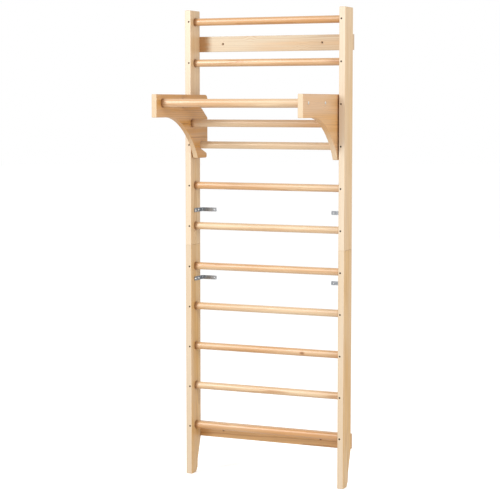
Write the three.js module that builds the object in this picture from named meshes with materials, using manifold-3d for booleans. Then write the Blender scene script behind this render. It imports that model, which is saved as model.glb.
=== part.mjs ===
// Wall bars (a Swedish ladder) with a hook-on pull-up unit.
// Millimetres, +Z up. The origin is on the floor, at the centre of the footprint.
// X runs across the ladder, -Y is its front and +Y is the wall side.
import * as THREE from 'three';
import { mergeVertices } from 'three/addons/utils/BufferGeometryUtils.js';
import Module from 'manifold-3d';

const wasm = await Module();
wasm.setup();

// ---- driving dimensions ----

const overallHeight = 2200;
const overallWidth = 800;
const fitGap = 0.3; // left between pieces that touch
const mergeTolerance = 1e-4;
const roundSegments = 20;
const dowelSegments = 12;
const smallSegments = 8;
const outlineSegments = 9;
const reachPast = 5; // how far a cutter stands out of the wood

// Each stile is two boards joined end to end.
const stileThickness = 30;
const stileDepth = 100;
const stileEase = 2;
const seamHeight = overallHeight / 2;
// The foot's outline behind the front edge, as [depth, height], from the floor up.
const footOutline = [[46, 0], [64, 20], [66, 60], [stileDepth, 165]];

const dowelDiameter = 10;
const dowelLength = 60;
const dowelDepths = { front: 25, rear: 75 };

const rungCount = 11;
const rungPitch = 191.5;
const topRungHeight = 2147;
const rungDiameter = 34;
const rungDepth = stileDepth / 2; // from the stile's front face to the rung's axis
const socketDepth = 20;
const rungScrewInset = 10; // from the stile's inner face

const railThickness = 18;
const railHeight = 72;
const railEase = 1.5;
const railHeights = { top: 2045, bottom: 202.5 };
const wallHoleOffset = 250; // from the middle of the rail
const wallHoleDiameter = 6.5;

// Flat steel angles, one leg on the stile and one against the wall.
const bracketWidth = 19;
const bracketThickness = 2.5;
const bracketFront = 31; // behind the stile's front face
const bracketReach = 77; // along the wall
const bracketHoleDiameter = 5;
const bracketHoles = { onStile: [12, 44], onWall: 12 }; // from each leg's free end
const bracketOffset = 163; // above and below the seam

// Countersunk screws, each head a little below the wood's face.
const screws = {
  rung: { headRadius: 4, headHeight: 2.6, shankRadius: 2, length: 56 },
  rail: { headRadius: 4.5, headHeight: 2.9, shankRadius: 2.2, length: 44 },
};
const screwSunk = 0.4;
const screwRim = 0.5; // straight edge of the head
const screwPoint = 6;

// Domed bolts at the ends of the grip bars.
const bolt = { headRadius: 7, headHeight: 2.2, rimHeight: 0.8, shankRadius: 3, length: 44 };
const domeSteps = 4;

// The pull-up unit hooks over the third rung and stands against the fourth.
const hookedRung = 3;
const armReach = 417; // in front of the stiles
const armThickness = 26;
const armSideGap = 6.5; // to the stile's inner face
const armTop = 44; // above the hooked rung's axis
const armBottom = -60; // lower edge of the straight front stretch
const armFoot = -253;
const armRear = 115; // behind the stiles' front face
const armEase = 2;
const hookAngle = THREE.MathUtils.degToRad(20); // the slots open this much below level
const hookClearance = 1;
const barSocketDepth = 15;
// Points of the arm's outline, as [behind the stiles' front face, above the hooked rung's axis].
const armCurve = [[-290, armBottom], [-170, armBottom], [-38, -150], [10, armFoot]];
const armToe = [[96, armFoot], [108, armFoot], [108, -241]]; // the foot's rounded rear corner
const lowerHookTip = [105, -230.7];
const upperMouth = [[armRear, -63.6], [55, -21]];
const armCorner = 20; // radius of the top rear corner
// Bars across the unit, as [behind the stiles' front face, above the hooked rung's axis].
const bars = {
  front_grip_bar: { at: [-356, 5], diameter: 36, screwed: true },
  middle_grip_bar: { at: [-153, 5], diameter: 36, screwed: true },
  spreader_bar: { at: [-50, -88], diameter: 34, screwed: false },
};

// ---- worked-out dimensions ----

const sides = { left: -1, right: 1 };
const innerHalf = overallWidth / 2 - stileThickness;
const stileMiddle = overallWidth / 2 - stileThickness / 2;
const wallDepth = stileDepth + railThickness;
const stileFrontY = (armReach + wallDepth) / 2 - wallDepth;
const rungHeight = (number) => topRungHeight - (number - 1) * rungPitch;
const armOuter = innerHalf - armSideGap;
const armInner = armOuter - armThickness;
const inOrder = (a, b) => [Math.min(a, b), Math.max(a, b)];

// ---- materials ----

const finish = (color, roughness, metalness) =>
  new THREE.MeshStandardMaterial({ color, roughness, metalness });
const stilePine = finish(0xe8cfa6, 0.55, 0);
const rungPine = finish(0xdcae78, 0.5, 0);
const armPine = finish(0xd9b98c, 0.55, 0);
const dowelBeech = finish(0xd2b083, 0.6, 0);
const zincSteel = finish(0xc4c6c8, 0.35, 1);
const darkSteel = finish(0x3a342e, 0.45, 0.9);

// ---- solids ----

function toSolid(geometry) {
  const bare = geometry.clone();
  bare.deleteAttribute('normal');
  bare.deleteAttribute('uv');
  const merged = mergeVertices(bare, mergeTolerance);
  const vertProperties = new Float32Array(merged.attributes.position.array);
  const triVerts = new Uint32Array(merged.index.array);
  return new wasm.Manifold(new wasm.Mesh({ numProp: 3, vertProperties, triVerts }));
}

function toGeometry(solid) {
  const made = solid.getMesh();
  const geometry = new THREE.BufferGeometry();
  geometry.setAttribute('position', new THREE.BufferAttribute(made.vertProperties, 3));
  geometry.setIndex(new THREE.BufferAttribute(made.triVerts, 1));
  geometry.computeVertexNormals();
  return geometry;
}

function cut(geometry, cutters) {
  let solid = toSolid(geometry);
  for (const cutter of cutters) solid = solid.subtract(toSolid(cutter));
  return toGeometry(solid);
}

// A cylinder along X, Y or Z between two places on that axis. Its flats are at the radius.
function rod(axis, radius, low, high, at, segments = roundSegments) {
  const outer = radius / Math.cos(Math.PI / segments);
  const geometry = new THREE.CylinderGeometry(outer, outer, high - low, segments);
  if (axis === 'x') geometry.rotateZ(-Math.PI / 2);
  if (axis === 'z') geometry.rotateX(Math.PI / 2);
  const middle = (low + high) / 2;
  const [a, b] = at;
  const place = { x: [middle, a, b], y: [a, middle, b], z: [a, b, middle] }[axis];
  return geometry.translate(...place);
}

// A board whose outline is drawn in Y and Z, centred on X = 0, with eased edges.
function board(shape, thickness, ease) {
  const geometry = new THREE.ExtrudeGeometry(shape, {
    depth: thickness - 2 * ease,
    bevelEnabled: true,
    bevelThickness: ease,
    bevelSize: ease,
    bevelOffset: -ease,
    bevelSegments: 1,
    curveSegments: outlineSegments,
  });
  geometry.translate(0, 0, ease - thickness / 2);
  const yzx = new THREE.Matrix4().makeBasis(
    new THREE.Vector3(0, 1, 0), new THREE.Vector3(0, 0, 1), new THREE.Vector3(1, 0, 0));
  return geometry.applyMatrix4(yzx);
}

function turned(profile, segments) {
  const points = profile.map(([radius, along]) => new THREE.Vector2(radius, along));
  return new THREE.LatheGeometry(points, segments);
}

// A countersunk screw with its head at the origin, pointing along +Y.
function screwGeometry(size, grow = 0) {
  const { headRadius, headHeight, shankRadius, length } = size;
  return turned([
    [0, -grow],
    [headRadius + grow, -grow],
    [headRadius + grow, screwRim],
    [shankRadius + grow, headHeight + grow],
    [shankRadius + grow, length - screwPoint + grow],
    [0, length + 2 * grow],
  ], smallSegments);
}

// The hole that a screw sits in, open at the head.
function screwHole(size) {
  const deep = screwGeometry(size, fitGap);
  const mouth = rod('y', size.headRadius + fitGap, -reachPast, screwRim, [0, 0], smallSegments);
  return [deep, mouth];
}

// A bolt pointing along +Y, its head's underside at the origin.
function boltGeometry() {
  const { headRadius, headHeight, rimHeight, shankRadius, length } = bolt;
  const dome = Array.from({ length: domeSteps + 1 }, (_, step) => {
    const angle = Math.PI / 2 * step / domeSteps;
    const above = rimHeight + (headHeight - rimHeight) * Math.cos(angle);
    return [headRadius * Math.sin(angle), -above];
  });
  return turned([
    ...dome,
    [headRadius, 0],
    [shankRadius, 0],
    [shankRadius, length],
    [0, length],
  ], roundSegments);
}

// The hole for a bolt's shank, from outside the wood to a gap past its end.
function boltHole() {
  const radius = bolt.shankRadius + fitGap;
  return rod('y', radius, -reachPast, bolt.length + fitGap, [0, 0]);
}

const pointAlong = {
  '+y': (geometry) => geometry,
  '-y': (geometry) => geometry.rotateX(Math.PI),
  '+x': (geometry) => geometry.rotateZ(-Math.PI / 2),
  '-x': (geometry) => geometry.rotateZ(Math.PI / 2),
};

function placed(geometries, direction, place) {
  return geometries.map((one) => pointAlong[direction](one).translate(...place));
}

function add(group, name, geometry, material, place = [0, 0, 0]) {
  const mesh = new THREE.Mesh(geometry, material);
  mesh.name = name;
  mesh.position.set(...place);
  group.add(mesh);
}

// ---- the ladder: Y = 0 is the stiles' front face ----

const ladder = new THREE.Group();
ladder.position.y = stileFrontY;

const upperOutline = () => {
  const low = seamHeight + fitGap / 2;
  return [[0, low], [stileDepth, low], [stileDepth, overallHeight], [0, overallHeight]];
};
const lowerOutline = () => {
  const high = seamHeight - fitGap / 2;
  return [[0, 0], ...footOutline, [stileDepth, high], [0, high]];
};

function screwPlace(side, number) {
  return [side * (innerHalf + rungScrewInset), screwSunk, rungHeight(number)];
}

// Half a stile, drawn round the stile's own middle, with its holes between two heights.
function stileHalf(side, outline, low, high) {
  const shape = new THREE.Shape(outline.map(([y, z]) => new THREE.Vector2(y, z)));
  const centre = side * stileMiddle;
  const cutters = [];
  for (let number = 1; number <= rungCount; number += 1) {
    const height = rungHeight(number);
    if (height < low || height > high) continue;
    const mouth = side * (innerHalf - reachPast) - centre;
    const bottom = side * (innerHalf + socketDepth) - centre;
    const radius = rungDiameter / 2 + fitGap;
    cutters.push(rod('x', radius, ...inOrder(mouth, bottom), [rungDepth, height]));
    const [x, y, z] = screwPlace(side, number);
    cutters.push(...placed(screwHole(screws.rung), '+y', [x - centre, y, z]));
  }
  for (const height of Object.values(railHeights)) {
    if (height < low || height > high) continue;
    const place = [0, wallDepth - screwSunk, height];
    cutters.push(...placed(screwHole(screws.rail), '-y', place));
  }
  for (const depth of Object.values(dowelDepths)) {
    const reach = dowelLength / 2 + fitGap;
    const bore = [seamHeight - reach, seamHeight + reach];
    cutters.push(rod('z', dowelDiameter / 2 + fitGap, ...bore, [0, depth], dowelSegments));
  }
  return cut(board(shape, stileThickness, stileEase), cutters);
}

for (const [word, side] of Object.entries(sides)) {
  const across = side * stileMiddle;
  const upper = stileHalf(side, upperOutline(), seamHeight, overallHeight);
  const lower = stileHalf(side, lowerOutline(), 0, seamHeight);
  add(ladder, `upper_stile_${word}`, upper, stilePine, [across, 0, 0]);
  add(ladder, `lower_stile_${word}`, lower, stilePine, [across, 0, 0]);
  for (const [end, depth] of Object.entries(dowelDepths)) {
    const half = dowelLength / 2;
    const dowel = rod('z', dowelDiameter / 2, -half, half, [0, 0], dowelSegments);
    add(ladder, `stile_dowel_${word}_${end}`, dowel, dowelBeech, [across, depth, seamHeight]);
  }
}

function rungGeometry() {
  const half = innerHalf + socketDepth - fitGap;
  const round = rod('x', rungDiameter / 2, -half, half, [0, 0]);
  const cutters = Object.values(sides).flatMap((side) => {
    const [x, y] = screwPlace(side, 1);
    return placed([screwGeometry(screws.rung, fitGap)], '+y', [x, y - rungDepth, 0]);
  });
  return cut(round, cutters);
}

for (let number = 1; number <= rungCount; number += 1) {
  const label = String(number).padStart(2, '0');
  add(ladder, `rung_${label}`, rungGeometry(), rungPine, [0, rungDepth, rungHeight(number)]);
  for (const [word, side] of Object.entries(sides)) {
    const screw = screwGeometry(screws.rung);
    add(ladder, `rung_screw_${label}_${word}`, screw, darkSteel, screwPlace(side, number));
  }
}

// ---- rails behind the stiles, screwed on from the wall side ----

function railGeometry() {
  const half = railHeight / 2;
  const front = fitGap;
  const outline = [[front, -half], [railThickness, -half], [railThickness, half], [front, half]];
  const shape = new THREE.Shape(outline.map(([y, z]) => new THREE.Vector2(y, z)));
  const cutters = Object.values(sides).flatMap((side) => {
    const place = [side * stileMiddle, railThickness - screwSunk, 0];
    const wallHole = rod('y', wallHoleDiameter / 2, -reachPast, railThickness + reachPast,
      [side * wallHoleOffset, 0], dowelSegments);
    return [...placed(screwHole(screws.rail), '-y', place), wallHole];
  });
  return cut(board(shape, overallWidth, railEase), cutters);
}

for (const [word, height] of Object.entries(railHeights)) {
  add(ladder, `${word}_rail`, railGeometry(), stilePine, [0, stileDepth, height]);
  for (const [sideWord, side] of Object.entries(sides)) {
    const screw = pointAlong['-y'](screwGeometry(screws.rail));
    const place = [side * stileMiddle, wallDepth - screwSunk, height];
    add(ladder, `${word}_rail_screw_${sideWord}`, screw, zincSteel, place);
  }
}

// ---- steel angles that tie the stiles to the wall ----

function bracketGeometry(side) {
  const inward = -side;
  const thick = bracketThickness;
  const legLength = wallDepth - bracketFront;
  const corners = [
    [0, 0], [thick, 0], [thick, legLength - thick], [bracketReach, legLength - thick],
    [bracketReach, legLength], [0, legLength],
  ];
  const outline = corners.map(([x, y]) => new THREE.Vector2(inward * x, y));
  const geometry = new THREE.ExtrudeGeometry(new THREE.Shape(outline), {
    depth: bracketWidth, bevelEnabled: false,
  });
  geometry.translate(inward * fitGap, 0, -bracketWidth / 2);
  const radius = bracketHoleDiameter / 2;
  const across = inOrder(inward * (thick + reachPast), -inward * reachPast);
  const through = [legLength - thick - reachPast, legLength + reachPast];
  const onStile = bracketHoles.onStile.map((y) =>
    rod('x', radius, ...across, [y, 0], smallSegments));
  const onWall = rod('y', radius, ...through,
    [inward * (bracketReach - bracketHoles.onWall), 0], smallSegments);
  return cut(geometry, [...onStile, onWall]);
}

for (const [word, side] of Object.entries(sides)) {
  for (const [level, offset] of Object.entries({ upper: bracketOffset, lower: -bracketOffset })) {
    const place = [side * innerHalf, bracketFront, seamHeight + offset];
    add(ladder, `wall_bracket_${level}_${word}`, bracketGeometry(side), zincSteel, place);
  }
}

// ---- the pull-up unit: Z = 0 is the hooked rung's axis ----

const pullUpUnit = new THREE.Group();
pullUpUnit.position.set(0, stileFrontY, rungHeight(hookedRung));

// The outline runs anticlockwise: front, curved lower edge, hook foot, slots, rear, top.
function armOutline() {
  const shape = new THREE.Shape();
  const radius = rungDiameter / 2 + hookClearance;
  const slope = Math.tan(hookAngle);
  const below = (rungZ) => [
    rungDepth - radius * Math.sin(hookAngle), rungZ - radius * Math.cos(hookAngle)];
  const above = (rungZ) => [
    rungDepth + radius * Math.sin(hookAngle), rungZ + radius * Math.cos(hookAngle)];
  const lipEnd = (rungZ) => [armRear, above(rungZ)[1] - (armRear - above(rungZ)[0]) * slope];
  const wrap = (rungZ) => {
    const start = -Math.PI / 2 - hookAngle;
    shape.lineTo(...below(rungZ));
    shape.absarc(rungDepth, rungZ, radius, start, start - Math.PI, true);
    shape.lineTo(...lipEnd(rungZ));
  };
  const [curveStart, ...curveRest] = armCurve;
  shape.moveTo(-armReach, armBottom);
  shape.lineTo(...curveStart);
  shape.bezierCurveTo(...curveRest.flat());
  shape.lineTo(...armToe[0]);
  shape.quadraticCurveTo(...armToe.slice(1).flat());
  shape.lineTo(...lowerHookTip);
  wrap(-rungPitch);
  for (const point of upperMouth) shape.lineTo(...point);
  wrap(0);
  shape.lineTo(armRear, armTop - armCorner);
  shape.absarc(armRear - armCorner, armTop - armCorner, armCorner, 0, Math.PI / 2, false);
  shape.lineTo(-armReach, armTop);
  return shape;
}

const boltDirection = (side) => (side > 0 ? '-x' : '+x');

function armGeometry(side) {
  const inner = -side * (armThickness / 2);
  const cutters = Object.values(bars).flatMap(({ at, diameter, screwed }) => {
    const ends = inOrder(inner - side * reachPast, inner + side * barSocketDepth);
    const socket = rod('x', diameter / 2 + fitGap, ...ends, at);
    if (!screwed) return [socket];
    const outer = [side * (armThickness / 2), ...at];
    return [socket, ...placed([boltHole()], boltDirection(side), outer)];
  });
  return cut(board(armOutline(), armThickness, armEase), cutters);
}

function barGeometry({ diameter, screwed }) {
  const half = armInner + barSocketDepth - fitGap;
  const round = rod('x', diameter / 2, -half, half, [0, 0]);
  if (!screwed) return round;
  const cutters = Object.values(sides).flatMap((side) => {
    return placed([boltHole()], boltDirection(side), [side * armOuter, 0, 0]);
  });
  return cut(round, cutters);
}

for (const [word, side] of Object.entries(sides)) {
  const centre = side * (armOuter - armThickness / 2);
  add(pullUpUnit, `pull_up_arm_${word}`, armGeometry(side), armPine, [centre, 0, 0]);
}

for (const [name, bar] of Object.entries(bars)) {
  add(pullUpUnit, name, barGeometry(bar), rungPine, [0, ...bar.at]);
  if (!bar.screwed) continue;
  for (const [word, side] of Object.entries(sides)) {
    const made = pointAlong[boltDirection(side)](boltGeometry());
    const place = [side * (armOuter + fitGap), ...bar.at];
    add(pullUpUnit, `${name}_screw_${word}`, made, zincSteel, place);
  }
}

const wallBars = new THREE.Group();
wallBars.add(ladder, pullUpUnit);

export default wallBars;
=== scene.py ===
"""The looks of a set of wall bars with a hook-on pull-up unit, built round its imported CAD.

Metres. X runs across the ladder, -Y is its front, +Y is the wall side, and +Z is up.
"""

import math

import bmesh
import bpy
from mathutils import Matrix, Vector


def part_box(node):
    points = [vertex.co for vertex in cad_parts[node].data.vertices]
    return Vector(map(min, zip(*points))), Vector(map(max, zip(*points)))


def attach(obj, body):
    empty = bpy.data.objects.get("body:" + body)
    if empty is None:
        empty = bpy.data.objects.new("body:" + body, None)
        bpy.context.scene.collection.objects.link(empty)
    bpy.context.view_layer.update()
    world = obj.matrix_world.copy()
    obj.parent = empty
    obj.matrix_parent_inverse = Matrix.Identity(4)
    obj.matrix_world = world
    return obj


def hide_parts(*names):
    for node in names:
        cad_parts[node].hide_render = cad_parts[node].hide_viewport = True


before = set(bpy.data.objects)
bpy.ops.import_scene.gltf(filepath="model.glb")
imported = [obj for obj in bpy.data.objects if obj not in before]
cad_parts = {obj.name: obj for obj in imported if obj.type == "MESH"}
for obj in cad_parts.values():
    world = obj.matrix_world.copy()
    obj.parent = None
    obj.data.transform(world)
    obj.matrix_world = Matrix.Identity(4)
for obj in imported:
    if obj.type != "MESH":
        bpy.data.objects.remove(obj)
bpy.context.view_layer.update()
MM = 0.001

# ---- camera ----

CAMERA_PLACE = (2.888, -6.595, 1.763)
CAMERA_AZIMUTH = 23.66  # degrees to the right of straight in front
CAMERA_PITCH = 5.06  # degrees downwards
CAMERA_LENS = 114.4  # millimetres
CAMERA_SHIFT = -0.01
CAMERA_REACH = 200  # metres


def make_camera():
    data = bpy.data.cameras.new("camera")
    data.lens = CAMERA_LENS
    data.shift_y = CAMERA_SHIFT
    data.clip_end = CAMERA_REACH
    camera = bpy.data.objects.new("camera", data)
    camera.location = CAMERA_PLACE
    camera.rotation_euler = (
        math.radians(90 - CAMERA_PITCH),
        0,
        math.radians(CAMERA_AZIMUTH),
    )
    bpy.context.scene.collection.objects.link(camera)
    bpy.context.scene.camera = camera


make_camera()

# ---- places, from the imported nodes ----

SIDES = {"left": -1, "right": 1}
LEVELS = ("upper", "lower")
RUNG_NAMES = [f"rung_{number:02d}" for number in range(1, 12)]
BOLTED_BARS = ("front_grip_bar", "middle_grip_bar")
BAR_NAMES = (*BOLTED_BARS, "spreader_bar")


def centre_of(node):
    low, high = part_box(node)
    return (low + high) / 2


def radius_of(bar):
    """The radius of a round bar that runs along X."""
    low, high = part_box(bar)
    return (high.z - low.z) / 2


STILE_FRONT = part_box("upper_stile_left")[0].y
UPPER_HOOK_RUNG = centre_of("rung_03")
LOWER_HOOK_RUNG = centre_of("rung_04")

WALL_HOLES_X = (-250 * MM, 250 * MM)  # in each rail
WALL_HOLE_MARK = 2 * MM  # the radius round which the hole's painted shade and drilling scorch are darkest

# ---- shader nodes ----


def add_node(tree, kind, inputs=None, **settings):
    """A new node. Inputs maps socket names or numbers to values or to other sockets."""
    node = tree.nodes.new(kind)
    for key, value in settings.items():
        setattr(node, key, value)
    for key, value in (inputs or {}).items():
        if isinstance(value, bpy.types.NodeSocket):
            tree.links.new(value, node.inputs[key])
        else:
            node.inputs[key].default_value = value
    return node


def maths(tree, operation, a, b=0.0, c=0.0):
    inputs = {0: a, 1: b, 2: c}
    return add_node(tree, "ShaderNodeMath", inputs, operation=operation).outputs[0]


def smooth_step(tree, value, low, high, to_low=0.0, to_high=1.0):
    """Goes smoothly from to_low, where the value is low, to to_high, where it is high."""
    inputs = {"Value": value, "From Min": low, "From Max": high}
    inputs.update({"To Min": to_low, "To Max": to_high})
    how = {"interpolation_type": "SMOOTHSTEP"}
    return add_node(tree, "ShaderNodeMapRange", inputs, **how).outputs["Result"]


def blend_colours(tree, share, first, second, how="MIX"):
    """The Mix node holds one socket of each kind: 6, 7 and its output 2 are the colours."""
    inputs = {0: share, 6: first, 7: second}
    settings = {"data_type": "RGBA", "blend_type": how}
    return add_node(tree, "ShaderNodeMix", inputs, **settings).outputs[2]


def vector_maths(tree, operation, *values, output="Vector"):
    inputs = dict(enumerate(values))
    node = add_node(tree, "ShaderNodeVectorMath", inputs, operation=operation)
    return node.outputs[output]


def parts_of(tree, vector):
    """The three numbers of a vector."""
    return add_node(tree, "ShaderNodeSeparateXYZ", {"Vector": vector}).outputs


def vector_of(tree, *values):
    inputs = dict(enumerate(values))
    return add_node(tree, "ShaderNodeCombineXYZ", inputs).outputs[0]


def noise(tree, place, pattern, output="Fac"):
    """A noise pattern, given as (scale along each axis per metre, detail, roughness)."""
    scale, detail, roughness = pattern
    inputs = {
        "Vector": vector_maths(tree, "MULTIPLY", place, scale),
        "Scale": 1.0,
        "Detail": detail,
        "Roughness": roughness,
    }
    return add_node(tree, "ShaderNodeTexNoise", inputs).outputs[output]


def cells(tree, place, scale):
    """A cell pattern's distance from the nearest cell's middle, and that cell's own number."""
    inputs = {"Vector": vector_maths(tree, "MULTIPLY", place, scale), "Scale": 1.0}
    outputs = add_node(tree, "ShaderNodeTexVoronoi", inputs).outputs
    split = add_node(tree, "ShaderNodeSeparateColor", {"Color": outputs["Color"]})
    return outputs["Distance"], split.outputs[0]


def piece_value(tree, name, output="Fac"):
    """A value that each piece carries."""
    settings = {"attribute_type": "OBJECT", "attribute_name": name}
    return add_node(tree, "ShaderNodeAttribute", **settings).outputs[output]


def bump(tree, shader, height, strength, distance):
    inputs = {"Strength": strength, "Distance": distance, "Height": height}
    node = add_node(tree, "ShaderNodeBump", inputs)
    tree.links.new(node.outputs[0], shader.inputs["Normal"])


def linear(red, green, blue):
    """A colour given in display values from 0 to 255."""

    def channel(value):
        share = value / 255
        return share / 12.92 if share <= 0.04045 else ((share + 0.055) / 1.055) ** 2.4

    return (channel(red), channel(green), channel(blue), 1.0)


def new_material(name):
    material = bpy.data.materials.new(name)
    material.use_nodes = True
    tree = material.node_tree
    tree.nodes.clear()
    shader = tree.nodes.new("ShaderNodeBsdfPrincipled")
    output = tree.nodes.new("ShaderNodeOutputMaterial")
    tree.links.new(shader.outputs[0], output.inputs["Surface"])
    return material, tree, shader


# ---- wood ----

KNOT_BROWN = linear(142, 92, 52)
# Painted shade with scorch, laid round the holes and on each bar's collar at its socket.
SCORCH_AND_SHADE = linear(140, 82, 30)
# Painted shade of the left stile and the corner, with darker heartwood, for the rails' left
# ends.
HEARTWOOD_AND_SHADE = linear(186, 122, 42)

# Noise patterns. The grain runs along the last axis.
WANDER = ((5.0, 5.0, 1.1), 2.0, 0.5)
RAGGED = ((60.0, 60.0, 5.0), 2.0, 0.6)
FIBRE = ((320.0, 320.0, 7.0), 3.0, 0.6)
PORES = ((1500.0, 1500.0, 40.0), 2.0, 0.6)
STREAK = ((48.0, 48.0, 1.6), 3.0, 0.55)
DRIFT = ((9.0, 9.0, 1.5), 2.0, 0.5)

# Knots sit in some cells of a pattern. Distances are from a cell's middle, in cells.
KNOT_CELLS = (10.0, 10.0, 6.0)  # per metre, across and along the grain
KNOT_CORE = (0.075, 0.045)
KNOT_EDGE = (0.11, 0.06)
KNOT_PUSH = (0.32, 0.02, 0.0, 2.6)  # in growth rings
KNOT_CORE_SHARE = 0.8
KNOT_EDGE_SHARE = 0.55

# Growth rings, in shares of one ring.
WANDER_REACH = (30 * MM, 30 * MM, 0.0)
RAGGED_REACH = 0.7
RING_RISE = (0.35, 0.9)
RING_FALL = (1.0, 0.92)
RING_STRENGTH = (0.0, 1.0, 0.25, 1.0)
RING_SHARE = 0.62

# Changes of tone, as smooth steps (from, to, result at from, result at to).
DRIFT_WARMTH = (0.32, 0.72, -0.25, 0.35)
STREAK_WARMTH = (0.3, 0.75, -0.22, 0.3)
FIBRE_SHADE = (0.25, 0.75, 0.93, 1.05)
PORE_SHADE = (0.2, 0.8, 0.96, 1.03)
# WARM_FRONT_SHADE and FULL_FRONT shape the painted highlight on faces turned to the front.
WARM_FRONT_SHADE = (0.0, 1.0, 1.0, 0.84)
FULL_FRONT = 0.99  # the cosine from which a front is as pale as it gets
END_GRAIN = (0.55, 0.95, 0.0, 0.4)
# HOLE_MARK and COLLAR_MARK lay that painted shade with scorch round holes and on bars at their
# sockets.
HOLE_MARK = (7 * MM, -1 * MM, 0.0, 0.85)
COLLAR_MARK = (-20 * MM, 0.0, 0.0, 0.8)
# DARK_END lays that painted shade with heartwood at a piece's left end.
DARK_END = (-335 * MM, -385 * MM)
DARK_END_RAGGED = -60 * MM
WORN_EDGE = (0.52, 0.62, 0.0, 0.18)

# The finish.
FIBRE_ROUGHNESS = (0.2, 0.8, -0.05, 0.1)  # a smooth step, on top of the wood's own
RING_ROUGHNESS = -0.06
RING_HEIGHT = 0.5
PORE_HEIGHT = 0.35
WOOD_BUMP = (0.35, 0.35 * MM)  # strength and distance
COAT_ROUGHNESS = 0.28


def grain_space(tree, split, grain):
    """Where a spot lies in the tree that its piece was sawn from, with the grain along Z."""
    order = {"x": (1, 2, 0), "y": (0, 2, 1), "z": (0, 1, 2)}[grain]
    turned = vector_of(tree, *(split[axis] for axis in order))
    shift = piece_value(tree, "grain_shift", "Vector")
    return vector_maths(tree, "ADD", turned, shift)


def knot_pattern(tree, spot, knots):
    """How much a spot belongs to a knot's core and its edge, and how far it pushes the rings.

    Knots is the share of the cells that have one."""
    distance, pick = cells(tree, spot, KNOT_CELLS)
    clear = maths(tree, "GREATER_THAN", pick, knots)
    from_knot = maths(tree, "ADD", distance, clear)
    return [
        smooth_step(tree, from_knot, *limits)
        for limits in (KNOT_CORE, KNOT_EDGE, KNOT_PUSH)
    ]


def growth_rings(tree, spot, spacing, knot_push):
    """How dark the late wood is at a spot, from 0 to 1, round a wandering middle."""
    wander = noise(tree, spot, WANDER, "Color")
    wander = vector_maths(tree, "SUBTRACT", wander, (0.5, 0.5, 0.5))
    wandered = vector_maths(tree, "MULTIPLY_ADD", wander, WANDER_REACH, spot)
    flat = vector_maths(tree, "MULTIPLY", wandered, (1.0, 1.0, 0.0))
    radius = vector_maths(tree, "LENGTH", flat, output="Value")
    phase = maths(tree, "DIVIDE", radius, spacing)
    phase = maths(tree, "MULTIPLY_ADD", noise(tree, spot, RAGGED), RAGGED_REACH, phase)
    phase = maths(tree, "ADD", phase, knot_push)
    within = maths(tree, "FRACT", phase)
    rising = smooth_step(tree, within, *RING_RISE)
    falling = smooth_step(tree, within, *RING_FALL)
    year = {"W": maths(tree, "FLOOR", phase)}
    strength = add_node(tree, "ShaderNodeTexWhiteNoise", year, noise_dimensions="1D")
    strength = smooth_step(tree, strength.outputs["Value"], *RING_STRENGTH)
    ring = maths(tree, "MULTIPLY", rising, falling)
    return maths(tree, "MULTIPLY", ring, strength)


def rim_distance(tree, place, holes, run):
    """How far a spot is outside the nearest round hole along X or Y."""
    flatten = (0.0, 1.0, 1.0) if run == "x" else (1.0, 0.0, 1.0)
    flat = vector_maths(tree, "MULTIPLY", place, flatten)
    nearest = 1.0
    for centre, radius in holes:
        middle = tuple(value * keep for value, keep in zip(centre, flatten))
        away = vector_maths(tree, "DISTANCE", flat, middle, output="Value")
        away = maths(tree, "SUBTRACT", away, radius)
        nearest = maths(tree, "MINIMUM", nearest, away)
    return nearest


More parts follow.
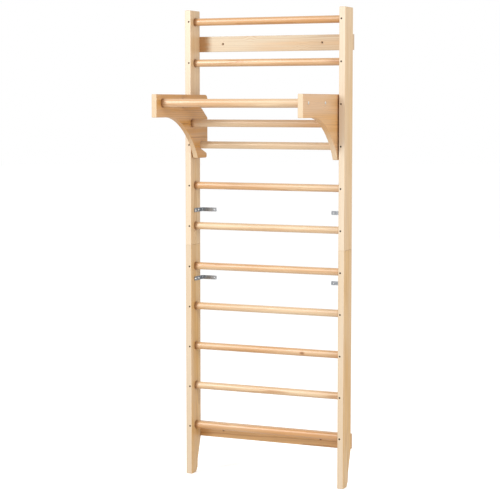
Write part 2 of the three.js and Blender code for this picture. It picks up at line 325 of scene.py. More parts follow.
def wood(
    name,
    grain,
    pale,
    warm,
    late,
    front=None,
    front_light_share=0.0,
    front_light_from=0.85,
    spacing=3.6 * MM,
    roughness=0.4,
    coat=0.12,
    knots=0.3,
    holes=(),
    holes_run="x",
    holes_within=1.0,
):
    """Pine with growth rings, fibres, slow changes of tone and a few knots.

    The pattern is solid: each piece's grain_shift says where it lies from the tree's middle.
    Its tone goes from 0, pale, to 1, warm, and its figure says how bold its rings are.
    Where a board faces the front it is painted paler, a painted highlight for the light from
    the front, which starts at front_light_from, the cosine between the two. Knots is the share
    of the cells with a knot.
    Round holes, given as (centre, radius), as far from the ladder's middle as holes_within,
    get darker rims: partly scorched by drilling, partly painted shade in and round the hole."""
    material, tree, shader = new_material(name)
    place = add_node(tree, "ShaderNodeTexCoord").outputs
    split = parts_of(tree, place["Object"])
    facing = parts_of(tree, place["Normal"])
    across = maths(tree, "ABSOLUTE", split[0])
    tone = piece_value(tree, "tone")
    figure = piece_value(tree, "figure")
    spot = grain_space(tree, split, grain)
    knot_core, knot_edge, knot_push = knot_pattern(tree, spot, knots)
    ring = growth_rings(tree, spot, spacing, knot_push)
    fibre = noise(tree, spot, FIBRE)
    pores = noise(tree, spot, PORES)
    streak = noise(tree, spot, STREAK)

    # The board's own colour, with its rings and fibres.
    warmth = smooth_step(tree, noise(tree, spot, DRIFT), *DRIFT_WARMTH)
    warmth = maths(tree, "ADD", warmth, tone)
    bands = smooth_step(tree, streak, *STREAK_WARMTH)
    warmth = maths(tree, "MULTIPLY_ADD", bands, figure, warmth)
    limits = {"Value": warmth, "Min": 0.0, "Max": 1.0}
    warmth = add_node(tree, "ShaderNodeClamp", limits).outputs[0]
    colour = blend_colours(tree, warmth, pale, warm)
    share = maths(tree, "MULTIPLY", ring, maths(tree, "MULTIPLY", figure, RING_SHARE))
    colour = blend_colours(tree, share, colour, late)
    fine = smooth_step(tree, fibre, *FIBRE_SHADE)
    fine = maths(tree, "MULTIPLY", fine, smooth_step(tree, pores, *PORE_SHADE))
    grey = vector_of(tree, fine, fine, fine)
    colour = blend_colours(tree, 1.0, colour, grey, "MULTIPLY")
    share = maths(tree, "MULTIPLY", knot_edge, KNOT_EDGE_SHARE)
    colour = blend_colours(tree, share, colour, late)
    share = maths(tree, "MULTIPLY", knot_core, KNOT_CORE_SHARE)
    colour = blend_colours(tree, share, colour, KNOT_BROWN)

    # Painted light: faces turned to the front are painted paler, a painted highlight for the
    # light from the front; and end grain that has drunk more finish.
    if front:
        ahead = maths(tree, "MULTIPLY", facing[1], -1.0)
        share = smooth_step(tree, ahead, front_light_from, FULL_FRONT, 0.0, front_light_share)
        dim = smooth_step(tree, tone, *WARM_FRONT_SHADE)
        painted_front_light = vector_maths(tree, "MULTIPLY", front[:3], vector_of(tree, dim, dim, dim))
        colour = blend_colours(tree, share, colour, painted_front_light)
    if grain != "y":
        along = maths(tree, "ABSOLUTE", facing["xyz".index(grain)])
        colour = blend_colours(tree, smooth_step(tree, along, *END_GRAIN), colour, late)

    # Darker rims round holes and a darker collar where a bar meets its socket, each partly
    # scorch and partly painted shade; painted shade with darker heartwood at the left end; and
    # worn edges.
    if holes:
        outside = rim_distance(tree, place["Object"], holes, holes_run)
        inside = maths(tree, "LESS_THAN", across, holes_within)
        share = maths(tree, "MULTIPLY", smooth_step(tree, outside, *HOLE_MARK), inside)
        colour = blend_colours(tree, share, colour, SCORCH_AND_SHADE)
    # Painted shade of the left stile and the corner, with darker heartwood, at the left end.
    share = maths(tree, "MULTIPLY_ADD", streak, DARK_END_RAGGED, split[0])
    share = smooth_step(tree, share, *DARK_END)
    share = maths(tree, "MULTIPLY", share, piece_value(tree, "dark_end"))
    colour = blend_colours(tree, share, colour, HEARTWOOD_AND_SHADE)
    # Painted shade with scorch on a bar's collar where it meets its socket.
    collar = maths(tree, "SUBTRACT", across, piece_value(tree, "collar"))
    colour = blend_colours(tree, smooth_step(tree, collar, *COLLAR_MARK), colour, SCORCH_AND_SHADE)
    pointed = add_node(tree, "ShaderNodeNewGeometry").outputs["Pointiness"]
    colour = blend_colours(tree, smooth_step(tree, pointed, *WORN_EDGE), colour, pale)
    tree.links.new(colour, shader.inputs["Base Color"])

    # Late wood is smoother and stands a little higher.
    low, high, less, more = FIBRE_ROUGHNESS
    rough = smooth_step(tree, fibre, low, high, roughness + less, roughness + more)
    rough = maths(tree, "MULTIPLY_ADD", ring, RING_ROUGHNESS, rough)
    tree.links.new(rough, shader.inputs["Roughness"])
    height = maths(tree, "MULTIPLY_ADD", ring, RING_HEIGHT, fibre)
    height = maths(tree, "MULTIPLY_ADD", pores, PORE_HEIGHT, height)
    bump(tree, shader, height, *WOOD_BUMP)
    shader.inputs["Coat Weight"].default_value = coat
    shader.inputs["Coat Roughness"].default_value = COAT_ROUGHNESS
    return material


def socket_marks(bars):
    """The sockets of round bars, as (centre, radius)."""
    return [(centre_of(bar), radius_of(bar)) for bar in bars]


def wall_hole_marks():
    return [
        (centre_of(rail) + Vector((x, 0, 0)), WALL_HOLE_MARK)
        for rail in ("top_rail", "bottom_rail")
        for x in WALL_HOLES_X
    ]


# ---- steel ----

CLOUD = ((60.0, 60.0, 60.0), 3.0, 0.6)
SCRATCH_STRETCH = (2.5, 0.5, 4.0)
SCRATCH_ROUGHNESS = (0.25, 0.75, -0.08, 0.14)  # a smooth step, on top of the steel's own
SPANGLE_SHARE = 0.35
SPOTTED = (0.35, 0.95)
STEEL_BUMP = (0.25, 0.06 * MM)  # strength and distance


def steel(name, colour, spotted, roughness, scale):
    """Plated or blackened steel: faint crystal spots, rolling streaks and small scratches.

    Scale is how many crystal spots there are to the metre."""
    material, tree, shader = new_material(name)
    place = add_node(tree, "ShaderNodeTexCoord").outputs["Object"]
    spangle = cells(tree, place, (scale,) * 3)[1]
    stretched = tuple(scale * stretch for stretch in SCRATCH_STRETCH)
    scratch = noise(tree, place, (stretched, 4.0, 0.65))
    share = maths(tree, "MULTIPLY_ADD", spangle, SPANGLE_SHARE, noise(tree, place, CLOUD))
    share = smooth_step(tree, share, *SPOTTED)
    painted = blend_colours(tree, share, colour, spotted)
    tree.links.new(painted, shader.inputs["Base Color"])
    low, high, less, more = SCRATCH_ROUGHNESS
    rough = smooth_step(tree, scratch, low, high, roughness + less, roughness + more)
    tree.links.new(rough, shader.inputs["Roughness"])
    bump(tree, shader, scratch, *STEEL_BUMP)
    shader.inputs["Metallic"].default_value = 1.0
    return material


# ---- materials ----

MATERIALS = {
    "stile_pine": wood(
        "stile_pine",
        "z",
        pale=linear(220, 190, 150),
        warm=linear(209, 163, 92),
        late=linear(174, 126, 70),
        # front is the pale colour painted on faces turned to the front, a painted highlight.
        front=linear(229, 218, 201),
        front_light_share=0.55,
        holes=socket_marks(RUNG_NAMES),
        holes_within=385 * MM,
    ),
    "rail_pine": wood(
        "rail_pine",
        "x",
        pale=linear(212, 196, 168),
        warm=linear(212, 166, 110),
        late=linear(172, 120, 66),
        spacing=4.4 * MM,
        holes=wall_hole_marks(),
        holes_run="y",
    ),
    "rung_pine": wood(
        "rung_pine",
        "x",
        pale=linear(226, 199, 162),
        warm=linear(204, 150, 94),
        late=linear(174, 116, 62),
        spacing=3.0 * MM,
        roughness=0.34,
        coat=0.3,
        knots=0.1,
    ),
    "arm_pine": wood(
        "arm_pine",
        "y",
        pale=linear(214, 174, 132),
        warm=linear(208, 152, 78),
        late=linear(152, 98, 46),
        # front is the pale colour painted on faces turned to the front, a painted highlight,
        # here reaching the curved lower edge.
        front=linear(230, 216, 188),
        front_light_share=0.6,
        front_light_from=0.4,
        spacing=5.2 * MM,
        knots=0.15,
        holes=socket_marks(BAR_NAMES),
        holes_within=350 * MM,
    ),
    "dowel_beech": wood(
        "dowel_beech",
        "z",
        pale=linear(216, 182, 144),
        warm=linear(200, 160, 118),
        late=linear(172, 130, 90),
    ),
    "zinc_steel": steel(
        "zinc_steel", linear(192, 195, 199), linear(142, 146, 151), 0.30, 420.0
    ),
    "bright_steel": steel(
        "bright_steel", linear(251, 249, 245), linear(232, 231, 228), 0.22, 420.0
    ),
    "dark_steel": steel(
        "dark_steel", linear(84, 70, 58), linear(48, 38, 30), 0.42, 700.0
    ),
}

# ---- mesh helpers ----


def new_object(name, bm):
    bmesh.ops.recalc_face_normals(bm, faces=bm.faces[:])
    mesh = bpy.data.meshes.new(name)
    bm.to_mesh(mesh)
    bm.free()
    made = bpy.data.objects.new(name, mesh)
    bpy.context.scene.collection.objects.link(made)
    return made


def skin(bm, rings):
    """Joins rings of vertices one after another, and closes both ends."""
    for near, far in zip(rings, rings[1:]):
        for k in range(len(near)):
            after = (k + 1) % len(near)
            bm.faces.new((near[k], near[after], far[after], far[k]))
    bm.faces.new(rings[0][::-1])
    bm.faces.new(rings[-1])


def lathe(profile, place, direction, segments=40, bm=None):
    """Adds a closed turned shape to bm, or to a new mesh, from place along direction.

    Profile points are (distance along, radius)."""
    bm = bm or bmesh.new()
    along = Vector(direction).normalized()
    side = along.orthogonal().normalized()
    other = along.cross(side)
    rings = []
    for distance, radius in profile:
        centre = Vector(place) + along * distance
        ring = []
        for k in range(segments):
            angle = 2 * math.pi * k / segments
            reach = side * (radius * math.cos(angle)) + other * (radius * math.sin(angle))
            ring.append(bm.verts.new(centre + reach))
        rings.append(ring)
    skin(bm, rings)
    return bm


PARALLEL = 0.02  # edges that turn by less than this go straight on
SMALLEST_CORNER = 0.08 * MM


def drawn_in(corners, share, segments=5):
    """The outline with rounded corners, drawn in by each edge's easing times share.

    Corners go anticlockwise as (y, z, corner radius, easing of the edge that follows)."""
    count = len(corners)
    plain = [Vector(corner[:2]) for corner in corners]
    moved = []
    for k, here in enumerate(plain):
        normals, depths = [], []
        for start in (k - 1, k):
            edge = plain[(start + 1) % count] - plain[start]
            normals.append(Vector((-edge.y, edge.x)).normalized())
            depths.append(corners[start][3] * share)
        (a, b), (c, d) = normals
        cross = a * d - b * c
        if abs(cross) > PARALLEL:
            y = (depths[0] * d - depths[1] * b) / cross
            z = (depths[1] * a - depths[0] * c) / cross
            step = Vector((y, z))
        else:
            step = (normals[0] + normals[1]).normalized() * (sum(depths) / 2)
        moved.append((here + step, cross, max(depths)))
    points = []
    for k, (here, cross, depth) in enumerate(moved):
        radius = corners[k][2]
        if radius <= 0:
            points.append(here)
            continue
        radius = max(radius - math.copysign(depth, cross), SMALLEST_CORNER)
        back = (moved[k - 1][0] - here).normalized()
        ahead = (moved[(k + 1) % count][0] - here).normalized()
        angle = back.angle(ahead)
        reach = radius / math.tan(angle / 2)
        middle = here + (back + ahead).normalized() * (radius / math.sin(angle / 2))
        first = here + back * reach - middle
        last = here + ahead * reach - middle
        sweep = first.angle_signed(last)
        for step in range(segments + 1):
            turn = Matrix.Rotation(-sweep * step / segments, 2)
            points.append(middle + turn @ first)
    return points


def eased_board(corners, low, high, steps=4):
    """A board whose outline is drawn in Y and Z, from X low to high, its edges rounded."""
    biggest = max(corner[3] for corner in corners)
    quarter = [math.pi / 2 * k / steps for k in range(steps + 1)]
    rings = []
    for angle in quarter:
        depth = biggest * (1 - math.cos(angle))
        rings.append((low + depth, drawn_in(corners, 1 - math.sin(angle))))
    for angle in reversed(quarter):
        depth = biggest * (1 - math.cos(angle))
        rings.append((high - depth, drawn_in(corners, 1 - math.sin(angle))))
    bm = bmesh.new()
    skin(bm, [[bm.verts.new((x, p.x, p.y)) for p in points] for x, points in rings])
    return bm


def carve(target, cutter_bm):
    """Cuts the closed shapes in cutter_bm out of target."""
    cutter = new_object("cutter", cutter_bm)
    cut = target.modifiers.new("cut", "BOOLEAN")
    cut.operation = "DIFFERENCE"
    cut.solver = "EXACT"
    cut.object = cutter
    graph = bpy.context.evaluated_depsgraph_get()
    graph.update()
    mesh = bpy.data.meshes.new_from_object(target.evaluated_get(graph))
    if len(mesh.polygons) <= len(target.data.polygons):
        raise RuntimeError(f"the cut in {target.name} failed")
    target.modifiers.clear()
    old = target.data
    target.data = mesh
    bpy.data.meshes.remove(old)
    tool = cutter.data
    bpy.data.objects.remove(cutter)
    bpy.data.meshes.remove(tool)


def dress(target, material, body, nodes=(), weighted=True, sharp=38):
    """Gives a piece its shading, material and body.

    Nodes are the CAD nodes it stands for. Edges sharper than sharp degrees stay sharp."""
    mesh = target.data
    for face in mesh.polygons:
        face.use_smooth = True
    mesh.set_sharp_from_angle(angle=math.radians(sharp))
    mesh.materials.clear()
    mesh.materials.append(MATERIALS[material])
    if weighted:
        normals = target.modifiers.new("normals", "WEIGHTED_NORMAL")
        normals.keep_sharp = True
    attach(target, body)
    if nodes:
        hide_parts(*nodes)
    return target


def give_grain(target, shift, tone, figure=1.0, collar=1.0, dark_end=0.0):
    """Sets how a piece of wood looks.

    Its collar is how far from the ladder's middle a socket meets it, where painted shade with
    scorch darkens the bar, and dark_end is how much painted shade with darker heartwood
    shows at its left end."""
    target["grain_shift"] = [float(value) for value in shift]
    target["tone"] = float(tone)
    target["figure"] = float(figure)
    target["collar"] = float(collar)
    target["dark_end"] = float(dark_end)


# ---- screws ----

SCREW_SIDES = 32
BOLT_SIDES = 48
BOLT_DOME_STEPS = 6
CROSS_WEB = 0.13  # half the width of a cross recess's slots, in head radii
CROSS_FOOT = 0.45  # how much of its size a cross recess keeps at its bottom
ABOVE = 1 * MM  # how far a recess's or a bolt hole's cutter stands out
OVERCUT = 2 * MM  # how far a hole's cutter reaches past a face
PILOT_DEPTH = 14 * MM
HOLE_STRAIGHT = 0.7 * MM  # the straight part of a screw hole, above its cone


def mesh_of(made):
    """Takes the mesh out of an object that was only needed to make it."""
    mesh = made.data
    bpy.data.objects.remove(made)
    return mesh


def screw_mesh(name, head, height, shank, length, domed=0.0, cross=0.62):
    """A cross-recessed screw, its head's face at the origin, pointing along +Y.

    Head and shank are radii. Domed is how far a pan head stands out of that face, and cross
    is how far the recess reaches, in head radii."""
    if domed:
        profile = [
            (-domed, head * 0.45),
            (-domed * 0.93, head * 0.66),
            (-domed * 0.6, head * 0.9),
            (-domed * 0.2, head),
            (0.0, head),
            (0.0, shank),
        ]
    else:
        profile = [
            (0.0, head * 0.97),
            (height * 0.04, head),
            (height * 0.16, head),
            (height, shank),
        ]
    profile += [
        (length * 0.86, shank),
        (length * 0.97, shank * 0.35),
        (length, shank * 0.08),
    ]
    made = new_object(name, lathe(profile, (0, 0, 0), (0, 1, 0), SCREW_SIDES))
    depth = height * 0.75 + domed * 0.6
    arm = head * cross
    web = head * CROSS_WEB
    outline = [
        (web, web), (web, arm), (-web, arm), (-web, web), (-arm, web), (-arm, -web),
        (-web, -web), (-web, -arm), (web, -arm), (web, -web), (arm, -web), (arm, web),
    ]
    levels = ((-domed - ABOVE, 1.0), (-domed, 1.0), (depth - domed, CROSS_FOOT))
    bm = bmesh.new()
    skin(bm, [
        [bm.verts.new((x * size, y, z * size)) for x, z in outline] for y, size in levels
    ])
    carve(made, bm)
    return mesh_of(made)


def bolt_mesh(name, head, rim, height, shank, length, socket):
    """A domed furniture bolt, its head's underside at the origin, pointing along +Y.

    Head, shank and socket are radii, and rim is the height of the head's straight edge."""
    profile = []
    for k in range(1, BOLT_DOME_STEPS + 1):
        angle = math.pi / 2 * k / BOLT_DOME_STEPS
        profile.append((-rim - (height - rim) * math.cos(angle), head * math.sin(angle)))
    profile += [
        (0.0, head),
        (0.0, shank),
        (length - 1.5 * MM, shank),
        (length, shank * 0.7),
    ]
    made = new_object(name, lathe(profile, (0, 0, 0), (0, 1, 0), BOLT_SIDES))
    hexagon = [(-height - ABOVE, socket), (0.4 * MM, socket)]
    carve(made, lathe(hexagon, (0, 0, 0), (0, 1, 0), 6))
    return mesh_of(made)


SCREW_TURNS = {
    "+y": Matrix.Identity(4),
    "-y": Matrix.Rotation(math.pi, 4, "Z"),
    "+x": Matrix.Rotation(-math.pi / 2, 4, "Z"),
    "-x": Matrix.Rotation(math.pi / 2, 4, "Z"),
}
RUNG_SCREW = screw_mesh(
    "rung_screw", head=4.0 * MM, height=2.6 * MM, shank=2.0 * MM, length=56 * MM
)
RAIL_SCREW = screw_mesh(
    "rail_screw", head=4.5 * MM, height=2.9 * MM, shank=2.2 * MM, length=44 * MM
)
BRACKET_SCREW = screw_mesh(
    "bracket_screw",
    head=4.8 * MM,
    height=1.0 * MM,
    shank=1.9 * MM,
    length=22 * MM,
    domed=2.4 * MM,
    cross=0.5,
)
BAR_BOLT = bolt_mesh(
    "bar_bolt",
    head=7.0 * MM,
    rim=0.8 * MM,
    height=2.2 * MM,
    shank=3.0 * MM,
    length=44 * MM,
    socket=2.0 * MM,
)


def put_screw(
    name, mesh, place, direction, material, body, nodes=(), spin=0.0
):
    """Puts a screw's head at place and turns it by spin degrees round its own axis."""
    made = bpy.data.objects.new(name, mesh.copy())
    bpy.context.scene.collection.objects.link(made)
    made.matrix_world = (
        Matrix.Translation(place)
        @ SCREW_TURNS[direction]
        @ Matrix.Rotation(math.radians(spin), 4, "Y")
    )
    bpy.context.view_layer.update()
    return dress(made, material, body, nodes, weighted=False, sharp=30)


def screw_hole(bm, place, direction, head=4.3 * MM, shank=2.3 * MM, cone=2.7 * MM):
    """A countersunk pilot hole, open at place. Head and shank are radii."""
    profile = [
        (-OVERCUT, head + 1.4 * MM),
        (0.0, head),
        (HOLE_STRAIGHT, head),
        (cone + 0.4 * MM, shank),
        (PILOT_DEPTH, shank),
    ]
    return lathe(profile, place, direction, SCREW_SIDES, bm)


# ---- stiles ----

STILE_EDGE = 2.6 * MM
SEAM_EDGE = 0.7 * MM
# The foot's outline behind the front edge, as (depth, height, corner radius).
FOOT = (
    (46 * MM, 0.0, 2 * MM),
    (64 * MM, 20 * MM, 6 * MM),
    (66 * MM, 60 * MM, 40 * MM),
    (100 * MM, 165 * MM, 20 * MM),
)
SOCKET_DEPTH = 20 * MM
SOCKET_PLAY = 0.3 * MM  # all round a bar
SOCKET_CHAMFER = 0.8 * MM
SOCKET_SIDES = 48
# How each board lies in its tree, its tone from pale to warm, and its figure.
STILE_GRAIN = {
    "upper_stile_left": ((0.462, -0.188, 0.3), 0.10, 1.0),
    "upper_stile_right": ((-0.318, -0.214, 4.1), 0.06, 1.0),
    "lower_stile_left": ((0.470, -0.222, 7.7), 0.60, 1.2),
    "lower_stile_right": ((-0.312, -0.186, 11.2), 0.40, 1.0),
}
DOWEL_GRAIN = ((0.37, 0.1, 0.0), 0.5)


def socket_hole(bm, bar, inner_x, side, depth):
    """A bar's blind round socket, with a small chamfer at its mouth."""
    axis = centre_of(bar)
    radius = radius_of(bar) + SOCKET_PLAY
    chamfer = (-3 * MM, -0.05 * MM, SOCKET_CHAMFER)
    profile = [(along, radius + SOCKET_CHAMFER - along) for along in chamfer]
    profile.append((depth, radius))
    return lathe(profile, (inner_x, axis.y, axis.z), (side, 0, 0), SOCKET_SIDES, bm)


def make_stile(level, word):
    side = SIDES[word]
    node = f"{level}_stile_{word}"
    low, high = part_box(node)
    y0, y1, z0, z1 = low.y, high.y, low.z, high.z
    edge, seam = STILE_EDGE, SEAM_EDGE
    if level == "upper":
        corners = [
            (y0, z0, seam, seam),
            (y1, z0, seam, edge),
            (y1, z1, edge, edge),
            (y0, z1, edge, edge),
        ]
    else:
        corners = [(y0, z0, edge, edge)]
        corners += [(y0 + d, z0 + h, radius, edge) for d, h, radius in FOOT]
        corners += [(y1, z1, seam, seam), (y0, z1, seam, edge)]
    made = new_object(node, eased_board(corners, low.x, high.x))
    inner_x = low.x if side > 0 else high.x
    cutters = bmesh.new()
    for rung in RUNG_NAMES:
        height = centre_of(rung).z
        if not z0 < height < z1:
            continue
        socket_hole(cutters, rung, inner_x, side, SOCKET_DEPTH)
        screw = centre_of(f"rung_screw_{rung[-2:]}_{word}")
        screw_hole(cutters, (screw.x, y0, height), (0, 1, 0))
    carve(made, cutters)
    give_grain(made, *STILE_GRAIN[node])
    dress(made, "stile_pine", "ladder", [node])


def finish_dowel(word, end):
    """A hidden dowel keeps its CAD mesh and is only given its wood."""
    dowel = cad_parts[f"stile_dowel_{word}_{end}"]
    dowel.data.materials.clear()
    dowel.data.materials.append(MATERIALS["dowel_beech"])
    give_grain(dowel, *DOWEL_GRAIN)


for level in LEVELS:
    for word in SIDES:
        make_stile(level, word)
for word in SIDES:
    for end in ("front", "rear"):
        finish_dowel(word, end)

# ---- rungs and grip bars ----

BAR_EDGE = 1.6 * MM
BAR_SIDES = 64


def turned_bar(node, body, off, along, tone, socket_depth):
    """A round bar with softly broken ends, each in a socket.

    Off is where the tree's middle lies from the bar's axis, and along is its place in it."""
    low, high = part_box(node)
    axis = centre_of(node)
    radius = radius_of(node)
    length = high.x - low.x
    soft = BAR_EDGE
    profile = [
        (0.0, radius - soft),
        (soft * 0.3, radius - soft * 0.35),
        (soft, radius),
        (length - soft, radius),
        (length - soft * 0.3, radius - soft * 0.35),
        (length, radius - soft),
    ]
    start = (low.x, axis.y, axis.z)
    made = new_object(node, lathe(profile, start, (1, 0, 0), BAR_SIDES))
    shift = (off[0] - axis.y, off[1] - axis.z, along)
    give_grain(made, shift, tone, collar=high.x - socket_depth)
    dress(made, "rung_pine", body, [node])


RUNG_TONES = (1.0, 0.35, 0.45, 0.0, 0.50, 0.15, 0.45, 0.25, 0.70, 0.35, 0.60)
# Each grip bar's tree middle from its axis, its place along the tree, and its tone.
BAR_GRAIN = {
    "front_grip_bar": ((0.024, 0.018), 51.0, 0.25),
    "middle_grip_bar": ((-0.020, 0.026), 57.4, 0.50),
    "spreader_bar": ((0.016, -0.027), 63.1, 0.40),
}
BAR_SOCKET_DEPTH = 15 * MM


def rung_grain(number):
    """A rung's tree middle from its axis, and its place along the tree. No two are alike."""
    around = 2.4 * number + 0.6
    far = 0.030 + 0.006 * (number % 4)
    return far * Vector((math.cos(around), math.sin(around))), 3.7 * number + 1.3


# Degrees from one screw to the next, so that their recesses don't line up.
RUNG_SPIN = 37
SIDE_SPIN = 19

for number, rung in enumerate(RUNG_NAMES):
    off, along = rung_grain(number)
    turned_bar(rung, "ladder", off, along, RUNG_TONES[number], SOCKET_DEPTH)
    for word, side in SIDES.items():
        node = f"rung_screw_{rung[-2:]}_{word}"
        place = (centre_of(node).x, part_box(node)[0].y, centre_of(rung).z)
        put_screw(
            node, RUNG_SCREW, place, "+y", "dark_steel", "ladder", [node],
            RUNG_SPIN * number + SIDE_SPIN * side,
        )

for node, (off, along, tone) in BAR_GRAIN.items():
    turned_bar(node, "pull_up_unit", off, along, tone, BAR_SOCKET_DEPTH)

# ---- rails ----

RAIL_EDGE = 1.8 * MM
WALL_HOLE = 3.25 * MM  # radius
WALL_HOLE_MOUTH = 5.4 * MM  # radius of the countersink at the rail's face
WALL_HOLE_CONE = 2.4 * MM  # depth of the countersink
RAIL_SCREW_SPIN = {"left": 25, "right": 68}
# How each rail lies in its tree, its tone, its figure and its dark end.
RAIL_GRAIN = {
    "top_rail": ((-0.215, -2.085, 21.0), 0.10, 1.0, 0.88),
    "bottom_rail": ((-0.330, -0.160, 28.3), 0.90, 1.2, 0.25),
}


def make_rail(node):
    low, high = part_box(node)
    middle_z = (low.z + high.z) / 2
    corners = [
        (y, z, RAIL_EDGE, RAIL_EDGE)
        for y, z in (
            (low.y, low.z), (high.y, low.z), (high.y, high.z), (low.y, high.z)
        )
    ]
    rail = new_object(node, eased_board(corners, low.x, high.x))
    cutters = bmesh.new()
    for x in WALL_HOLES_X:
        profile = [
            (-OVERCUT, WALL_HOLE_MOUTH + OVERCUT),
            (0.0, WALL_HOLE_MOUTH),
            (WALL_HOLE_CONE, WALL_HOLE),
            (high.y - low.y + OVERCUT, WALL_HOLE),
        ]
        lathe(profile, (x, low.y, middle_z), (0, 1, 0), SCREW_SIDES, cutters)
    for word in SIDES:
        place = (centre_of(f"{node}_screw_{word}").x, high.y, middle_z)
        screw_hole(
            cutters, place, (0, -1, 0), head=4.8 * MM, shank=2.5 * MM, cone=3.0 * MM
        )
    carve(rail, cutters)
    shift, tone, figure, dark_end = RAIL_GRAIN[node]
    give_grain(rail, shift, tone, figure, dark_end=dark_end)
    dress(rail, "rail_pine", "ladder", [node])
    for word, spin in RAIL_SCREW_SPIN.items():
        name = f"{node}_screw_{word}"
        place = (centre_of(name).x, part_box(name)[1].y, middle_z)
        put_screw(name, RAIL_SCREW, place, "-y", "zinc_steel", "ladder", [name], spin)


for node in RAIL_GRAIN:
    make_rail(node)

# ---- steel angles ----

SHEET = 2.5 * MM
SHEET_EDGE = 0.35 * MM
BEND_RADIUS = 4.5 * MM  # outside
BEND_STEPS = 8
BRACKET_CORNER = 4 * MM
CORNER_STEPS = 6
BRACKET_HOLE = 2.5 * MM  # radius
BRACKET_CHAMFER = 0.6 * MM
STILE_LEG_HOLES = {"front": 12 * MM, "rear": 44 * MM}
WALL_LEG_HOLE = 12 * MM
HEAD_GAP = 0.05 * MM  # under a screw's head
HOLE_SIDES = 28
BRACKET_SPIN = 31
BRACKET_SIDE_SPIN = 12


def bracket_ends(length, half):
    """Distances along the strip with its half width there, at its rounded start and end."""
    start = []
    for k in range(CORNER_STEPS + 1):
        angle = math.pi / 2 * k / CORNER_STEPS
        along = BRACKET_CORNER * (1 - math.cos(angle))
        start.append((along, half - BRACKET_CORNER * (1 - math.sin(angle))))
    return start, [(length - along, width) for along, width in reversed(start)]


def bracket_strip(corner, side, leg, reach, half):
    """The bent strip, from its front end along the stile, round the bend and along the wall.

    Corner is the middle of its outer face at the front end. Leg and reach are the lengths
    of the two flat stretches, and half is half its height."""
    arc = BEND_RADIUS * math.pi / 2
    start, finish = bracket_ends(leg + arc + reach, half)
    bend = [(leg + arc * k / BEND_STEPS, half) for k in range(BEND_STEPS + 1)]
    bm = bmesh.new()
    rings = []
    for along, width in start + bend + finish:
        if along <= leg:
            base = Vector((0.0, along))
            inward = Vector((1.0, 0.0))
        elif along < leg + arc:
            angle = (along - leg) / BEND_RADIUS
            inward = Vector((math.cos(angle), -math.sin(angle)))
            base = Vector((BEND_RADIUS, leg)) - inward * BEND_RADIUS
        else:
            base = Vector((BEND_RADIUS + along - leg - arc, leg + BEND_RADIUS))
            inward = Vector((0.0, -1.0))
        eased = width - SHEET_EDGE
        inner = SHEET - SHEET_EDGE
        section = [
            (0.0, -eased), (SHEET_EDGE, -width), (inner, -width), (SHEET, -eased),
            (SHEET, eased), (inner, width), (SHEET_EDGE, width), (0.0, eased),
        ]
        ring = []
        for depth, z in section:
            flat = base + inward * depth
            spot = (corner.x - side * flat.x, corner.y + flat.y, corner.z + z)
            ring.append(bm.verts.new(spot))
        rings.append(ring)
    skin(bm, rings)
    return bm


def make_bracket(level, word):
    side = SIDES[word]
    node = f"wall_bracket_{level}_{word}"
    low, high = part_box(node)
    outer_x, free_x = (high.x, low.x) if side > 0 else (low.x, high.x)
    corner = Vector((outer_x, low.y, (high.z + low.z) / 2))
    leg = high.y - low.y - BEND_RADIUS
    reach = high.x - low.x - BEND_RADIUS
    half = (high.z - low.z) / 2
    made = new_object(node, bracket_strip(corner, side, leg, reach, half))
    cutters = bmesh.new()
    for y in STILE_LEG_HOLES.values():
        place = corner + Vector((side * OVERCUT, y, 0.0))
        profile = [(0.0, BRACKET_HOLE), (SHEET + 2 * OVERCUT, BRACKET_HOLE)]
        lathe(profile, place, (-side, 0, 0), HOLE_SIDES, cutters)
    place = (free_x + side * WALL_LEG_HOLE, high.y - SHEET, corner.z)
    profile = [
        (-OVERCUT, BRACKET_HOLE + BRACKET_CHAMFER + OVERCUT),
        (0.0, BRACKET_HOLE + BRACKET_CHAMFER),
        (BRACKET_CHAMFER, BRACKET_HOLE),
        (SHEET + OVERCUT, BRACKET_HOLE),
    ]
    lathe(profile, place, (0, 1, 0), HOLE_SIDES, cutters)
    carve(made, cutters)
    dress(made, "zinc_steel", "ladder", [node])
    direction = "+x" if side > 0 else "-x"
    for k, (end, y) in enumerate(STILE_LEG_HOLES.items()):
        place = corner + Vector((-side * (SHEET + HEAD_GAP), y, 0.0))
        put_screw(
            f"bracket_screw_{level}_{word}_{end}", BRACKET_SCREW, place, direction,
            "bright_steel", "ladder", (), BRACKET_SPIN * k + BRACKET_SIDE_SPIN * side,
        )


for level in LEVELS:
    for word in SIDES:
        make_bracket(level, word)

# ---- the pull-up unit's arms ----

ARM_EDGE = 3.0 * MM
ARM_FRONT_CORNER = 3 * MM
ARM_TOP_REAR_CORNER = 20 * MM
SLOT_RADIUS = 18 * MM
SLOT_ANGLE = math.radians(20)
SLOT_STEPS = 20
SLOT_MOUTH_CORNER = 5 * MM
# Depth from the stiles' front face, and height from the upper hooked rung's axis.
ARM_UNDER = -60 * MM
CURVE_FRONT = -290 * MM
CURVE_PULLS = ((-170 * MM, ARM_UNDER), (-38 * MM, -150 * MM))
CURVE_REAR = 10 * MM
CURVE_STEPS = 30
HOOK_FOOT_REAR = 108 * MM
LOWER_HOOK_TIP = (105 * MM, -230.7 * MM)
UPPER_MOUTH_REAR = -63.6 * MM  # at the arm's rear edge
UPPER_MOUTH_FRONT = (55 * MM, -21 * MM)
BOLT_HOLE = 3.3 * MM  # radius
BOLT_HOLE_DEPTH = 14 * MM
BOLT_GAP = 0.3 * MM  # under a bolt's head
FIRST_BOLT_SPIN = 20
BOLT_SPIN = 47
# How each arm lies in its tree, its tone and its figure.
ARM_GRAIN = {
    "left": ((0.43, -1.64, 33.0), 0.74, 1.2),
    "right": ((-0.24, -1.62, 47.4), 0.26, 0.6),
}


def curve(start, first, second, end, steps):
    """Points of a cubic curve, without its first."""
    points = []
    for k in range(1, steps + 1):
        t = k / steps
        s = 1 - t
        weights = (s**3, 3 * s * s * t, 3 * s * t * t, t**3)
        pulls = (start, first, second, end)
        points.append(
            tuple(sum(w * pull[i] for w, pull in zip(weights, pulls)) for i in (0, 1))
        )
    return points


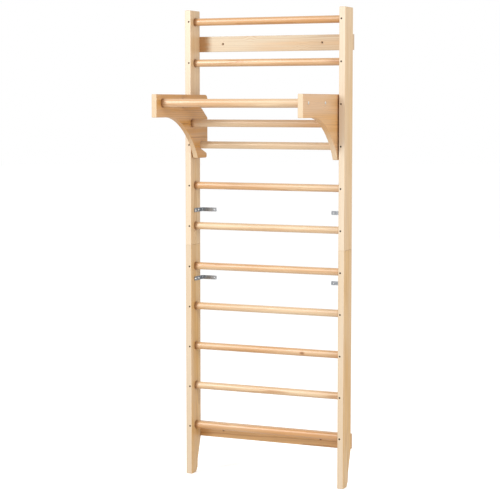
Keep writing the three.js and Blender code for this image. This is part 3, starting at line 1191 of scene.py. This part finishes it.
def slot_corners(rung_y, rung_z, rear):
    """The slot's corners round the front of a rung, and its mouth at the arm's rear edge."""
    first = -math.pi / 2 - SLOT_ANGLE
    corners = []
    for k in range(SLOT_STEPS + 1):
        angle = first - math.pi * k / SLOT_STEPS
        y = rung_y + SLOT_RADIUS * math.cos(angle)
        z = rung_z + SLOT_RADIUS * math.sin(angle)
        corners.append((y, z))
    return corners, (rear, z - (rear - y) * math.tan(SLOT_ANGLE), SLOT_MOUTH_CORNER)


def arm_outline(low, high):
    """The arm's outline, anticlockwise from its lower front corner."""
    rung = UPPER_HOOK_RUNG
    rung_y = rung.y - STILE_FRONT
    front = low.y - STILE_FRONT
    rear = high.y - STILE_FRONT
    top = high.z - rung.z
    foot = low.z - rung.z
    curve_start = (CURVE_FRONT, ARM_UNDER)
    lower_slot, lower_mouth = slot_corners(rung_y, LOWER_HOOK_RUNG.z - rung.z, rear)
    upper_slot, upper_mouth = slot_corners(rung_y, 0.0, rear)
    corners = [
        (front, ARM_UNDER, ARM_FRONT_CORNER),
        curve_start,
        *curve(curve_start, *CURVE_PULLS, (CURVE_REAR, foot), CURVE_STEPS)[:-1],
        (CURVE_REAR, foot, 5 * MM),
        (HOOK_FOOT_REAR, foot, 10 * MM),
        (*LOWER_HOOK_TIP, 5 * MM),
        *lower_slot,
        lower_mouth,
        (rear, UPPER_MOUTH_REAR, 6 * MM),
        (*UPPER_MOUTH_FRONT, 8 * MM),
        *upper_slot,
        upper_mouth,
        (rear, top, ARM_TOP_REAR_CORNER),
        (front, top, ARM_FRONT_CORNER),
    ]
    outline = []
    for y, z, *rounding in corners:
        radius = rounding[0] if rounding else 0.0
        outline.append((y + STILE_FRONT, z + rung.z, radius, ARM_EDGE))
    return outline


def make_arm(word):
    side = SIDES[word]
    node = f"pull_up_arm_{word}"
    low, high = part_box(node)
    arm = new_object(node, eased_board(arm_outline(low, high), low.x, high.x))
    inner_x, outer_x = (low.x, high.x) if side > 0 else (high.x, low.x)
    cutters = bmesh.new()
    for bar in BAR_NAMES:
        socket_hole(cutters, bar, inner_x, side, BAR_SOCKET_DEPTH)
    for bar in BOLTED_BARS:
        axis = centre_of(bar)
        profile = [(-ABOVE, BOLT_HOLE), (BOLT_HOLE_DEPTH, BOLT_HOLE)]
        start = (outer_x, axis.y, axis.z)
        lathe(profile, start, (-side, 0, 0), SCREW_SIDES, cutters)
    carve(arm, cutters)
    give_grain(arm, *ARM_GRAIN[word])
    dress(arm, "arm_pine", "pull_up_unit", [node])
    direction = "-x" if side > 0 else "+x"
    for k, bar in enumerate(BOLTED_BARS):
        name = f"{bar}_screw_{word}"
        axis = centre_of(bar)
        place = (outer_x + side * BOLT_GAP, axis.y, axis.z)
        put_screw(
            name, BAR_BOLT, place, direction, "bright_steel", "pull_up_unit", [name],
            FIRST_BOLT_SPIN + BOLT_SPIN * k,
        )


for word in SIDES:
    make_arm(word)

# ---- floor, light and background ----

FLOOR_RADIUS = 40.0
FLOOR_SIDES = 96
FLOOR_DROP = 0.5 * MM
FLOOR_ROUGHNESS = 0.9
FLOOR_SPECULAR = 0.2
FLOOR_CLOUD = ((1.5, 1.5, 1.5), 3.0, 0.5)
FLOOR_TINTS = ((0.84, 0.84, 0.84, 1), (0.88, 0.88, 0.88, 1))
FLOOR_LIFT = 0.46  # what the camera sees on top of the lit floor, so that it looks white
WHITE = (1, 1, 1, 1)
AMBIENT = 0.62
# Soft boxes, as (power in watts, width, height, distance, degrees to the right, degrees up).
LAMPS = {
    "key": (195.0, 1.2, 4.2, 5.2, -32.0, 30.0),
    "fill": (59.0, 1.5, 1.5, 4.0, 72.0, 12.0),
}
LAMP_TARGET = Vector((0, 0, 1.3))


def make_floor():
    bm = bmesh.new()
    bmesh.ops.create_circle(
        bm, cap_ends=True, segments=FLOOR_SIDES, radius=FLOOR_RADIUS
    )
    floor = new_object("floor", bm)
    floor.location.z = -FLOOR_DROP
    material, tree, shader = new_material("floor")
    place = add_node(tree, "ShaderNodeTexCoord").outputs["Object"]
    tint = blend_colours(tree, noise(tree, place, FLOOR_CLOUD), *FLOOR_TINTS)
    tree.links.new(tint, shader.inputs["Base Color"])
    shader.inputs["Roughness"].default_value = FLOOR_ROUGHNESS
    shader.inputs["Specular IOR Level"].default_value = FLOOR_SPECULAR
    shader.inputs["Emission Color"].default_value = WHITE
    seen = add_node(tree, "ShaderNodeLightPath").outputs["Is Camera Ray"]
    lift = maths(tree, "MULTIPLY", seen, FLOOR_LIFT)
    tree.links.new(lift, shader.inputs["Emission Strength"])
    floor.data.materials.append(material)


def make_world():
    world = bpy.data.worlds.new("studio")
    world.use_nodes = True
    tree = world.node_tree
    path = add_node(tree, "ShaderNodeLightPath").outputs
    seen = maths(tree, "MAXIMUM", path["Is Camera Ray"], path["Is Glossy Ray"])
    strength = smooth_step(tree, seen, 0.0, 1.0, AMBIENT, 1.0)
    background = tree.nodes["Background"]
    background.inputs["Color"].default_value = WHITE
    tree.links.new(strength, background.inputs["Strength"])
    bpy.context.scene.world = world


def make_lamp(name, power, width, height, distance, right, up):
    data = bpy.data.lights.new(name, "AREA")
    data.shape = "RECTANGLE"
    data.size = width
    data.size_y = height
    data.energy = power
    lamp = bpy.data.objects.new(name, data)
    right, up = math.radians(right), math.radians(up)
    flat = math.cos(up)
    away = Vector((math.sin(right) * flat, -math.cos(right) * flat, math.sin(up)))
    lamp.location = LAMP_TARGET + away * distance
    lamp.rotation_euler = away.to_track_quat("Z", "Y").to_euler()
    bpy.context.scene.collection.objects.link(lamp)


make_floor()
make_world()
for name, settings in LAMPS.items():
    make_lamp(name, *settings)
bpy.context.scene.view_settings.view_transform = "Standard"
